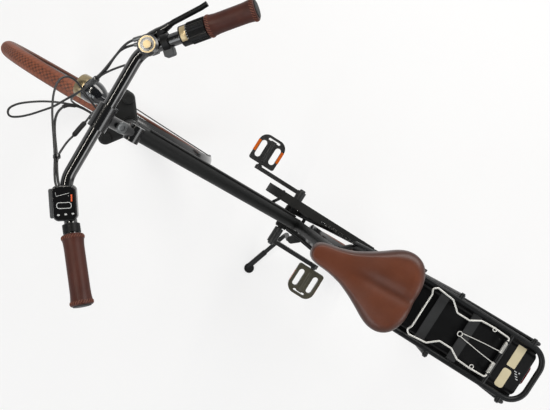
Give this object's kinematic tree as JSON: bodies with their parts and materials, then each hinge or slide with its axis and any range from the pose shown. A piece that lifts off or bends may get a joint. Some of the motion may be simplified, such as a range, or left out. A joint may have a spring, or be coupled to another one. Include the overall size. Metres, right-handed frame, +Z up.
{
  "type": "electric bicycle",
  "caption": "low-step electric city bicycle with hub motor, rack battery, swept handlebar, brown saddle and tyres, parked on its side stand",
  "frame": {"origin": "bottom centre of the bounding box, on the floor", "axes": "+X forward, +Y to the rider's left, +Z up"},
  "size_m": [1.8678, 0.6778, 1.1698],
  "materials": {
    "frame_paint": "satin black",
    "gloss_black": "gloss black",
    "dark_plastic": "matt",
    "gloss_plastic": "gloss",
    "tyre_brown": "matt",
    "leather_brown": "smooth",
    "steel": "bright",
    "dark_alloy": "dark satin",
    "cable_rubber": "satin",
    "clear_lens": "clear",
    "red_lens": "gloss"
  },
  "bodies": {
    "frame": {"head_tube": "frame_paint", "headset_cups": "gloss_black", "seat_tube": "frame_paint", "top_tube": "frame_paint", "down_tube": "frame_paint", "chain_stays": "frame_paint", "seat_stays": "frame_paint", "rear_axle": "steel", "seat_clamp": "gloss_black", "seat_post": "gloss_black", "saddle_rails": "steel", "saddle": "leather_brown", "rack": "frame_paint", "rack_struts": "frame_paint", "battery": "dark_plastic", "tail_lamp": "red_lens", "rear_mudguard": "gloss_black", "chain": "steel", "chain_guard": "dark_plastic", "gear_box": "dark_plastic", "brake_arm": "dark_alloy", "stand_bracket": "dark_alloy", "clip_spring": "steel", "frame_cable": "cable_rubber"},
    "steering": {"fork_crown": "frame_paint", "fork_legs": "frame_paint", "front_axle": "steel", "front_mudguard": "gloss_black", "front_brake": "dark_alloy", "stem": "frame_paint", "handlebar": "gloss_black", "grip_left": "leather_brown", "grip_right": "leather_brown", "twist_shifter": "dark_plastic", "brake_lever": "dark_alloy", "bell": "gloss_plastic", "display": "gloss_plastic", "collar_left": "dark_plastic", "head_lamp": "dark_plastic", "lamp_lens": "clear_lens", "cable_brake": "cable_rubber", "cable_shift": "cable_rubber", "cable_display": "cable_rubber"},
    "front_wheel": {"front_tyre": "tyre_brown", "front_rim": "dark_alloy", "front_spokes": "steel", "hub_motor": "dark_alloy"},
    "rear_wheel": {"rear_tyre": "tyre_brown", "rear_rim": "dark_alloy", "rear_spokes": "steel", "gear_hub": "steel"},
    "crankset": {"crank_right": "dark_alloy", "crank_left": "dark_alloy"},
    "pedal_right": {"pedal_right": "dark_plastic"},
    "pedal_left": {"pedal_left": "dark_plastic"},
    "kickstand": {"stand_leg": "dark_alloy"},
    "rack_clip": {"rack_clip": "steel"}
  },
  "joints": [
    {"name": "steer", "type": "hinge", "parent": "frame", "child": "steering", "pos_m": [0.53238, -0.06322, 0.33601], "axis": [-0.3584, 0.077, 0.9304], "range_deg": [-70, 70], "deforming": ["cable_shift", "cable_display"]},
    {"name": "front_spin", "type": "hinge", "parent": "steering", "child": "front_wheel", "pos_m": [0.57904, -0.06044, 0.35376], "axis": [-0.0244, 0.9955, -0.0918], "continuous": true},
    {"name": "rear_spin", "type": "hinge", "parent": "frame", "child": "rear_wheel", "pos_m": [-0.55694, -0.06174, 0.35387], "axis": [0, 0.9966, -0.0825], "continuous": true, "deforming": ["chain"]},
    {"name": "crank_spin", "type": "hinge", "parent": "frame", "child": "crankset", "pos_m": [-0.10494, -0.06726, 0.2871], "axis": [0, 0.9966, -0.0825], "continuous": true, "deforming": ["chain"]},
    {"name": "pedal_right_spin", "type": "hinge", "parent": "crankset", "child": "pedal_right", "pos_m": [0.06487, -0.22058, 0.30782], "axis": [0, 0.9966, -0.0825], "continuous": true},
    {"name": "pedal_left_spin", "type": "hinge", "parent": "crankset", "child": "pedal_left", "pos_m": [-0.27475, 0.08605, 0.26638], "axis": [0, 0.9966, -0.0825], "continuous": true},
    {"name": "stand_swing", "type": "hinge", "parent": "frame", "child": "kickstand", "pos_m": [-0.16394, -0.01721, 0.24683], "axis": [0.4172, 0.6728, 0.611], "range_deg": [0, 113]},
    {"name": "clip_lift", "type": "hinge", "parent": "frame", "child": "rack_clip", "pos_m": [-0.69994, -0.02507, 0.83348], "axis": [0, -0.9966, 0.0825], "range_deg": [0, 70], "stiffness_Nm_per_rad": 0.3, "springref_deg": -17.19}
  ]
}
